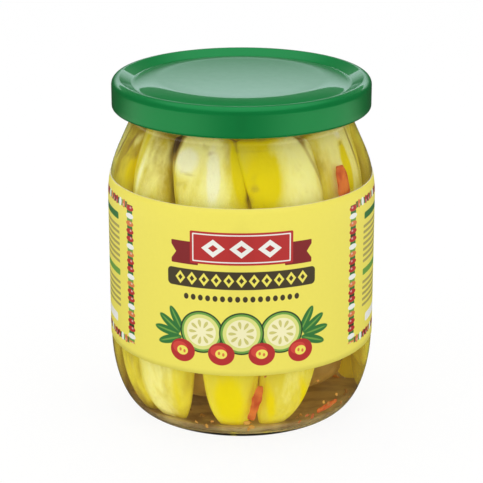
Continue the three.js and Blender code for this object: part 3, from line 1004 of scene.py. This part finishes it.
# How far out the front of a spear is, as a share of the glass's radius
FRONTS_SHARE = 0.93


def hidden_spear(number):
    first, last = HIDDEN_AZIMUTHS
    azimuth = first + (last - first) * number / (HIDDEN_SPEARS - 1)
    wave = math.sin(2.4 * number + 1)
    return Spear(
        azimuth=(azimuth + 3 * wave, azimuth, azimuth - 3 * wave),
        width=(HIDDEN_WIDTH - 2 * wave, HIDDEN_WIDTH + 2 * wave),
        height=(102 + wave, 6 + wave),
        cream=(0.6 + 0.6 * wave, 0.5 - 0.6 * wave),
        cream_turn=(25 * wave, -20 * wave),
        olive=1.0 - 0.5 * wave,
    )


def inner_spear(number):
    azimuth = 360 * number / INNER_SPEARS + 10
    top = 99 + 1.5 * math.sin(1.7 * number)
    clearance = MOUTH_RADIUS - INNER_RING - OUTER_DEPTH
    return Spear((azimuth, azimuth, azimuth), (17, 17), (top, 14), (0.4, 0.4), (0, 0), 0.6, clearance)


def taper(share, low_power, high_power):
    """Width share along a length: full in the middle, and rounder at an end the lower its power."""
    along = 2 * share - 1
    return math.sqrt(max(0.0, 1 - abs(along) ** (low_power if along < 0 else high_power)))


def bowed(azimuths, share):
    """Azimuth in radians along a spear that bows: a quadratic curve from the foot to the top."""
    top, bow, foot = azimuths
    rest = 1 - share
    return math.radians(foot * rest * rest + 2 * bow * share * rest + top * share * share)


def signed_power(value, power):
    return np.sign(value) * np.abs(value) ** power


def behind_glass(azimuth):
    """Azimuth in radians of the part of a spear that shows at an azimuth of the glass, seen from afar."""
    seen = math.radians(azimuth)
    bent = math.asin(math.sin(seen) / BRINE_INDEX)
    return seen - bent + math.asin(math.sin(bent) / FRONTS_SHARE)


def marked(points, kind):
    """Amount of one kind of mark at each point."""
    x, y, z = points.T
    azimuth, distance = np.arctan2(x, -y), np.hypot(x, y)
    total = np.zeros(len(points))
    for at, height, half_width, half_height, turn, amount in MARKS[kind]:
        aside = (azimuth - behind_glass(at)) * distance
        c, s = cos_sin(turn)
        across = (aside * c + (z - height) * s) / half_width
        along = ((z - height) * c - aside * s) / half_height
        total += amount * np.exp(-((across**2 + along**2) ** 1.2))
    return total


def between(ends, share):
    """The value at a share of the way up, from the values at the top and the foot."""
    top, foot = ends
    return foot + (top - foot) * share


def angle_from(turn, facing):
    return np.angle(np.exp(1j * (turn - facing)))


def spear(sizes, number, rings, sides):
    """(rings of points, cream, olive, brown) of one cucumber spear that stands against the glass."""
    turn = np.arange(sides) * 2 * math.pi / sides
    outward, aside = np.cos(turn), np.sin(turn)
    depth = np.where(outward > 0, OUTER_DEPTH, INNER_DEPTH)
    narrow = 1 - 0.45 * np.maximum(0, -outward)
    # Painted shade on both sides of each spear, where it meets the next.
    edges = 0.35 * np.exp(-(((np.abs(angle_from(turn, 0)) - 1.65) / 0.25) ** 2))
    phase = 1.9 * number
    rows, creams, browns = [], [], []
    for ring in range(rings):
        share = 0.5 - 0.5 * math.cos(math.pi * (ring + 0.35) / (rings - 0.3))
        z = between(sizes.height, share)
        size = taper(share, sizes.foot_power, TOP_POWER)
        azimuth = bowed(sizes.azimuth, share)
        middle = inside_radius(z) - sizes.clearance - OUTER_DEPTH
        relief = 0.18 * np.cos(5 * turn + phase) + 0.1 * np.cos(9 * turn - phase + 0.05 * z)
        spots = [Vector((2 * a, 2 * b, 0.09 * z + phase)) for a, b in zip(outward, aside)]
        lumps = np.array([noise.noise(spot) for spot in spots])
        swell = 1 + (relief - 0.28 + 0.5 * np.minimum(lumps, 0.0)) / 9
        r = middle + size * depth * signed_power(outward, 0.8) * swell
        half = between(sizes.width, share) / 2
        across = size * half * narrow * signed_power(aside, 0.85) * swell
        x = r * math.sin(azimuth) + across * math.cos(azimuth)
        y = -r * math.cos(azimuth) + across * math.sin(azimuth)
        rows.append(np.stack([x, y, np.full(sides, z)], axis=-1))
        facing = math.radians(between(sizes.cream_turn, share))
        creams.append(between(sizes.cream, share) * np.exp(-((angle_from(turn, facing) / 0.95) ** 2)))
        # Brown is the painted side shade, and the very ends of the spear are darker too.
        browns.append(edges + 0.4 * max(0.0, 1 - min(share, 1 - share) / 0.03))
    cream = np.concatenate(creams)
    return rows, cream, np.full(len(cream), sizes.olive), np.concatenate(browns)


def joined(skins):
    """(points, faces) of several skins in one."""
    points, faces, count = [], [], 0
    for skin, quads in skins:
        points.append(skin)
        faces += [tuple(i + count for i in face) for face in quads]
        count += len(skin)
    return np.concatenate(points), faces


def make_spears():
    """Every spear of the ring and the middle, as one piece. The shown front ones have a finer mesh."""
    spears = SHOWN_SPEARS + [hidden_spear(number) for number in range(HIDDEN_SPEARS)]
    spears += [inner_spear(number) for number in range(INNER_SPEARS)]
    skins = []
    looks = {"cream": [], "olive": [], "brown": []}
    for number, sizes in enumerate(spears):
        rows, *values = spear(sizes, number, *(FINE_MESH if number in FINE_SPEARS else COARSE_MESH))
        skins.append(loft(rows))
        for store, value in zip(looks.values(), values):
            store.append(np.concatenate([value, value[:1], value[-1:]]))
    points, faces = joined(skins)
    piece = make_piece("cucumber_spears", points, faces)
    for name, values in looks.items():
        add_values(piece, name, np.concatenate(values) + marked(points, name))
    add_values(piece, "gold", marked(points, "gold"))
    dress(piece, [spear_material()], "pickle", "pickle_heap")


def make_sediment():
    """Seeds and bits that have settled: a thin brown layer over the floor of the glass."""
    edge = inside_radius(SEDIMENT_TOP) - 1.5
    top = [(edge * s, SEDIMENT_TOP + 0.4 * (1 - s**4)) for s in np.linspace(0, 1, 30)]
    heights = np.linspace(SEDIMENT_TOP - 0.7, FLOOR_EDGE_HEIGHT + 0.5, 6)
    side = [(inside_radius(z) - 0.6, z) for z in heights]
    low = FLOOR_EDGE_HEIGHT + 0.2
    floor = [(FLOOR_EDGE * s, low + FLOOR_RISE * (1 - s * s)) for s in (0.96, 0.8, 0.5, 0)]
    piece = turned("settled_bits", top + side + floor)
    material = plain_food_material("settled_bits", SETTLED_TONES, scale=110.0, roughness=0.5, glow=0.15)
    dress(piece, [material], "pickle")


# Bits that lie against the glass: azimuth, height, length and tone, from 0 for brown to 1 for red.
LOOSE_BITS = [
    (2.6, 7.4, 2.4, 0.45),
    (5.2, 5.6, 2.2, 0.45),
    (3.8, 4.6, 1.4, 0.6),
    (31, 5.4, 1.4, 0.9),
    (34, 7.4, 1.6, 0.9),
    (38, 6.4, 2.2, 1.0),
    (46, 9.6, 2.0, 0.8),
    (50, 12.2, 1.6, 0.6),
    (42, 11, 1.5, 0.5),
    (-18, 5.2, 1.6, 0.4),
    (-14.5, 7.4, 1.2, 0.7),
    (-23, 6.4, 1.2, 0.3),
    (36, 20, 1.2, 0.7),
    (10.4, 24.5, 1.0, 0.9),
    (-61, 28, 1.2, 0.8),
]


def bit(centre, length, tone, number):
    """(points, faces, tones) of one seed or flake."""
    spin = noise.noise(Vector((number * 1.7, 0.3, 0.9))) * 6
    c, s = math.cos(spin), math.sin(spin)
    turn = np.arange(10) * 2 * math.pi / 10
    away = centre[:2] / np.hypot(*centre[:2])
    rings = []
    for share in np.linspace(0.06, 0.94, 7):
        half = 0.3 * length * math.sqrt(1 - (2 * share - 1) ** 2)
        along = (share - 0.5) * length
        aside = half * np.cos(turn)
        lift = 0.6 * half * np.sin(turn)
        x, z = along * c - aside * s, along * s + aside * c
        ring = np.stack([x * -away[1] + lift * away[0], x * away[0] + lift * away[1], z], axis=-1)
        rings.append(ring + centre)
    points, faces = loft(rings)
    return points, faces, np.full(len(points), tone)


def make_bits():
    """Chilli seeds and flakes, some against the glass and some scattered over the floor."""
    spots = [(inside_radius(spot[1]) - 0.5, *spot) for spot in LOOSE_BITS]
    random = np.random.default_rng(5)
    for _ in range(SCATTERED_BITS):
        azimuth = math.degrees(random.uniform(0, 2 * math.pi))
        r = inside_radius(SEDIMENT_TOP) * math.sqrt(random.uniform(0.3, 0.74))
        spots.append((r, azimuth, SEDIMENT_TOP + 0.3, random.uniform(0.8, 2.2), random.uniform(0, 0.8)))
    skins, tones = [], []
    for number, (r, azimuth, height, length, tone) in enumerate(spots):
        centre = around(r, math.radians(azimuth), height)
        points, faces, values = bit(centre, length, tone, number)
        skins.append((points, faces))
        tones.append(values)
    piece = make_piece("seeds_and_flakes", *joined(skins))
    add_values(piece, "tone", np.concatenate(tones))
    dress(piece, [bits_material()], "chilli")


def make_core():
    """The pickles in the middle of the jar, as one ridged piece, painted dark brown for the shade deep in the
    jar.
    """
    low, high = CORE_BOTTOM + CORE_END, CORE_TOP - CORE_END
    start = QUARTER * np.linspace(0.15, 1, 8)
    end = QUARTER * np.linspace(0.1, 0.9, 8)
    profile = [(0, CORE_BOTTOM)]
    profile += list(zip(CORE_RADIUS * np.sin(start), low - CORE_END * np.cos(start)))
    profile += [(CORE_RADIUS, z) for z in np.linspace(low, high, 12)[1:]]
    profile += list(zip(CORE_RADIUS * np.cos(end), high + CORE_END * np.sin(end)))
    profile += [(0, CORE_TOP)]

    def move(r, z, turn):
        ridges = np.cos(9 * turn + 0.03 * z) + 0.4 * np.cos(4 * turn - 0.05 * z)
        return 0.9 * ridges * np.clip(r / CORE_RADIUS, 0, 1)

    piece = turned("inner_pickles", profile, move)
    material = plain_food_material("inner_pickles", INNER_TONES, scale=60.0, roughness=0.4, glow=0.25)
    dress(piece, [material], "pickle", "pickle_heap")


class Strip(NamedTuple):
    """A strip of chilli. start and end are (azimuth, height)."""

    start: tuple
    end: tuple
    width: float
    thickness: float
    clearance: float = CHILLI_CLEARANCE


CHILLI_STRIPS = [
    Strip((50.5, 68), (53, 89.5), 5.2, 1.7),
    Strip((4.6, 8.5), (8.4, 21), 2.8, 1.1),
    Strip((41, 7.6), (53, 9.4), 2.0, 1.1),
    Strip((168, 77), (174, 93), 4.6, 1.2, clearance=0.5),
]


def chilli_centre(sizes, share):
    azimuth, z = (first + (last - first) * share for first, last in zip(sizes.start, sizes.end))
    r = inside_radius(z - 1) - sizes.clearance - sizes.thickness / 2
    return around(r, math.radians(azimuth), z)


def make_chilli(material, number, sizes):
    """A cut strip of chilli with a cupped inside and uneven edges."""
    rings, sides = 40, 28
    turn = np.arange(sides) * 2 * math.pi / sides
    rows = []
    for ring in range(rings):
        share = ring / (rings - 1)
        centre = chilli_centre(sizes, share)
        along = chilli_centre(sizes, share + 0.01) - chilli_centre(sizes, share - 0.01)
        along /= np.linalg.norm(along)
        outward = np.array([centre[0], centre[1], 0]) / np.hypot(centre[0], centre[1])
        across = np.cross(along, outward)
        across /= np.linalg.norm(across)
        proud = np.cross(across, along)
        size = 0.35 + 0.65 * taper(0.04 + 0.92 * share, FOOT_POWER, FOOT_POWER)
        ragged = 1 + 0.12 * math.sin(9 * share + number) + 0.07 * math.sin(23 * share)
        a = size * ragged * sizes.width / 2 * signed_power(np.cos(turn), 0.8)
        b = size * sizes.thickness / 2 * signed_power(np.sin(turn), 0.7)
        rows.append(centre + a[:, None] * across + b[:, None] * proud)
    points, faces = loft(rows)
    dress(make_piece(f"chilli_piece_{number}", points, faces), [material], "chilli", f"chilli_strip_{number}")


# The stage

FLOOR_REACH = 6.0
FLOOR_TONES = ((0.86, 0.86, 0.86), (0.88, 0.88, 0.88))
FLOOR_GLOW = 0.88
MIRROR_RING = (0.3, 0.62)
MIRRORED_FRONT = (0.18, 0.18, 0.18)
MIRRORED_SIDE = (0.9, 0.9, 0.9)
DARK = (0.05, 0.05, 0.045)
# Painted shade: what is seen through the glass, on the floor and in the world, is dark brown, for the shade
# in and under the jar.
THROUGH_GLASS = (0.1, 0.07, 0.035)


def make_floor():
    """A pale floor. What is mirrored in the lid and seen through the glass meets a dimmer one."""
    mesh = bpy.data.meshes.new("floor")
    corners = [(x * FLOOR_REACH, y * FLOOR_REACH, 0) for x, y in ((-1, -1), (1, -1), (1, 1), (-1, 1))]
    mesh.from_pydata(corners, [], [(0, 1, 2, 3)])
    floor = new_object("floor", mesh)
    material, tree = new_material("pale_floor")
    where = place(tree)
    colour = blend(tree, speckle(tree, where, 3.0), *FLOOR_TONES)
    lit = add(tree, "BsdfPrincipled", {"Base Color": colour, "Roughness": 0.7})
    glow = add(tree, "Emission", {"Color": (1, 1, 1, 1)})
    seen = add(tree, "MixShader", {0: FLOOR_GLOW, 1: lit, 2: glow})
    across, along = add_several(tree, "SeparateXYZ", (0, 1), {0: where})
    away = add(tree, "VectorMath", {0: where}, output="Value", operation="LENGTH")
    side = ramp(tree, abs(across) / away, 0.1, 0.8)
    near, far = MIRROR_RING
    ring = ramp(tree, away, 0.7 * near, near) * ramp(tree, away, 1.3 * far, far)
    ring = ring * ramp(tree, along, 0.3, 0.05)
    mirrored_colour = blend(tree, ring, DARK, blend(tree, side, MIRRORED_FRONT, MIRRORED_SIDE))
    mirrored = add(tree, "Emission", {"Color": mirrored_colour})
    through = add(tree, "Emission", {"Color": (*THROUGH_GLASS, 1)})
    rays = ("Is Camera Ray", "Is Diffuse Ray", "Is Glossy Ray", "Is Transmission Ray")
    camera, diffuse, glossy, transmission = add_several(tree, "LightPath", rays)
    shader = add(tree, "MixShader", {0: camera.calc("MAXIMUM", diffuse), 1: lit, 2: seen})
    shader = add(tree, "MixShader", {0: glossy, 1: shader, 2: mirrored})
    shader = add(tree, "MixShader", {0: transmission, 1: shader, 2: through})
    add_node(tree, "OutputMaterial", {"Surface": shader})
    mesh.materials.append(material)


def make_camera():
    data = bpy.data.cameras.new("camera")
    data.sensor_width = SENSOR
    data.lens = FOCAL_PIXELS * SENSOR / PICTURE_SIDE
    data.clip_start = 0.01
    camera = new_object("camera", data)
    height = CAMERA_TARGET + CAMERA_DISTANCE * math.sin(CAMERA_PITCH)
    camera.location = (0, -CAMERA_DISTANCE * math.cos(CAMERA_PITCH) * MM, height * MM)
    camera.rotation_euler = (QUARTER - CAMERA_PITCH, 0, 0)
    bpy.context.scene.camera = camera


def add_panel(name, at, size, power):
    """A soft rectangular lamp at a point, turned to the jar, that isn't seen in it."""
    data = bpy.data.lights.new(name, "AREA")
    data.shape = "RECTANGLE"
    data.size, data.size_y = size
    data.energy = power
    lamp = new_object(name, data)
    lamp.location = at
    lamp.rotation_euler = (Vector(LIT_POINT) - Vector(at)).to_track_quat("-Z", "Y").to_euler()
    lamp.visible_glossy = False
    lamp.visible_transmission = False


AMBIENT = 0.82
BACKDROP_BOTTOM = 0.05
BACKDROP_TOP = 0.34
BACKDROP_STRENGTH = 3.1
BACKDROP_HALF_WIDTH = 0.55
BACKDROP_TINT = (0.97, 1.02, 1.2)
ABOVE_BACKDROP = 0.1
CEILING = 0.6
CEILING_EDGE = (0.62, 0.85)


def make_world():
    """Even soft light, with a room for what is mirrored: a pale backdrop behind, brighter towards its
    top, a pale ceiling, and dark elsewhere."""
    world = bpy.data.worlds.new("studio")
    world.use_nodes = True
    tree = world.node_tree
    tree.nodes.clear()
    direction = add(tree, "TexCoord", output="Generated")
    across, along, up = add_several(tree, "SeparateXYZ", (0, 1, 2), {0: direction})
    rise = add(tree, "MapRange", {0: up, 1: BACKDROP_BOTTOM, 2: BACKDROP_TOP})
    behind = ramp(tree, along, 0.0, 0.2)
    below_top = ramp(tree, up, BACKDROP_TOP + 0.01, BACKDROP_TOP - 0.006)
    width = ramp(tree, abs(across), BACKDROP_HALF_WIDTH + 0.1, BACKDROP_HALF_WIDTH)
    backdrop = below_top * behind * width * (rise * rise * BACKDROP_STRENGTH)
    above = ramp(tree, up, BACKDROP_TOP, 0.4) * behind * ABOVE_BACKDROP
    ceiling = (ramp(tree, up, *CEILING_EDGE) * CEILING).calc("MAXIMUM", above)
    mirrored = backdrop.calc("MAXIMUM", ceiling).calc("MAXIMUM", DARK[0])
    glossy, transmission = add_several(tree, "LightPath", ("Is Glossy Ray", "Is Transmission Ray"))
    strength = add(tree, "Mix", {0: glossy, 2: AMBIENT, 3: mirrored})
    # Painted shade: rays through the glass meet dark brown.
    colour = blend(tree, glossy, blend(tree, transmission, (1, 1, 1), THROUGH_GLASS), BACKDROP_TINT)
    background = add(tree, "Background", {"Color": colour, "Strength": strength})
    add_node(tree, "OutputWorld", {"Surface": background})
    bpy.context.scene.world = world


LIT_POINT = (0, 0, 0.06)


def make_light():
    make_world()
    add_panel("left_panel", (-0.9, -0.9, 0.6), (0.7, 0.9), 2.0)
    add_panel("right_panel", (0.9, -0.9, 0.6), (0.7, 0.9), 1.6)
    add_panel("top_panel", (0, 0.1, 1.6), (2.4, 2.4), 16)
    bpy.context.scene.view_settings.view_transform = "Standard"


make_camera()
make_light()
make_floor()
make_glass()
make_brine()
make_lid()
make_label()
make_spears()
make_core()
make_sediment()
make_bits()
chilli_skin = plain_food_material("chilli", CHILLI_TONES, 150.0, 0.3, glow=0.12, subsurface=0.35)
for index, strip in enumerate(CHILLI_STRIPS):
    make_chilli(chilli_skin, index + 1, strip)
